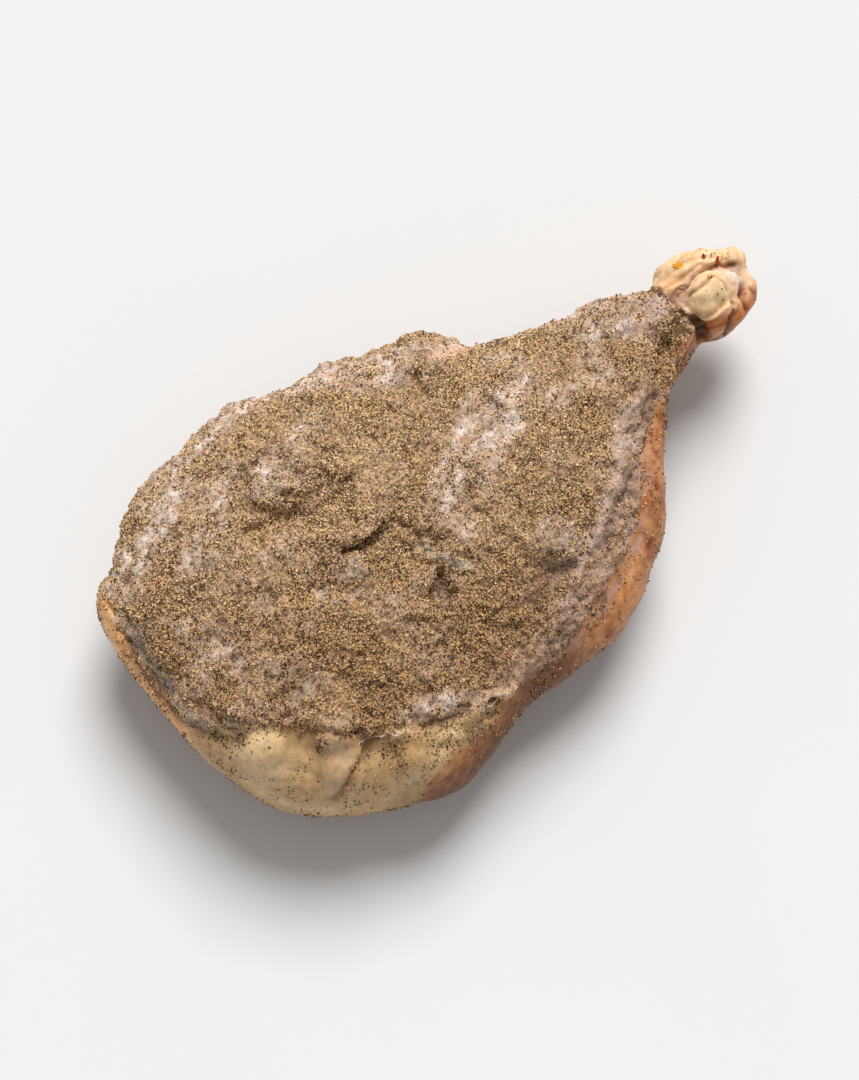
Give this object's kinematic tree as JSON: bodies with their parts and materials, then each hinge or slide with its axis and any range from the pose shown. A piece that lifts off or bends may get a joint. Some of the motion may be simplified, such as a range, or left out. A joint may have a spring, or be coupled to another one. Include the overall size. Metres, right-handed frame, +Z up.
{
  "type": "cured ham",
  "caption": "Whole dry-cured ham on the bone, lying on its rind with the pepper-dusted cut face up and the hock at one end.",
  "frame": {"origin": "centre of the bounding box's bottom, on the surface the ham lies on", "axes": "+X along the leg from the butt to the hock, +Y across the leg, +Z up, out of the cut face"},
  "size_m": [0.5026, 0.2982, 0.1347],
  "materials": {
    "ham": "dry cured lean meat, fat and skin under ground pepper, matt",
    "pepper": "ground black pepper, matt",
    "chilli": "dried chilli flakes, satin"
  },
  "bodies": {
    "root": {"ham": "ham"}
  },
  "joints": []
}
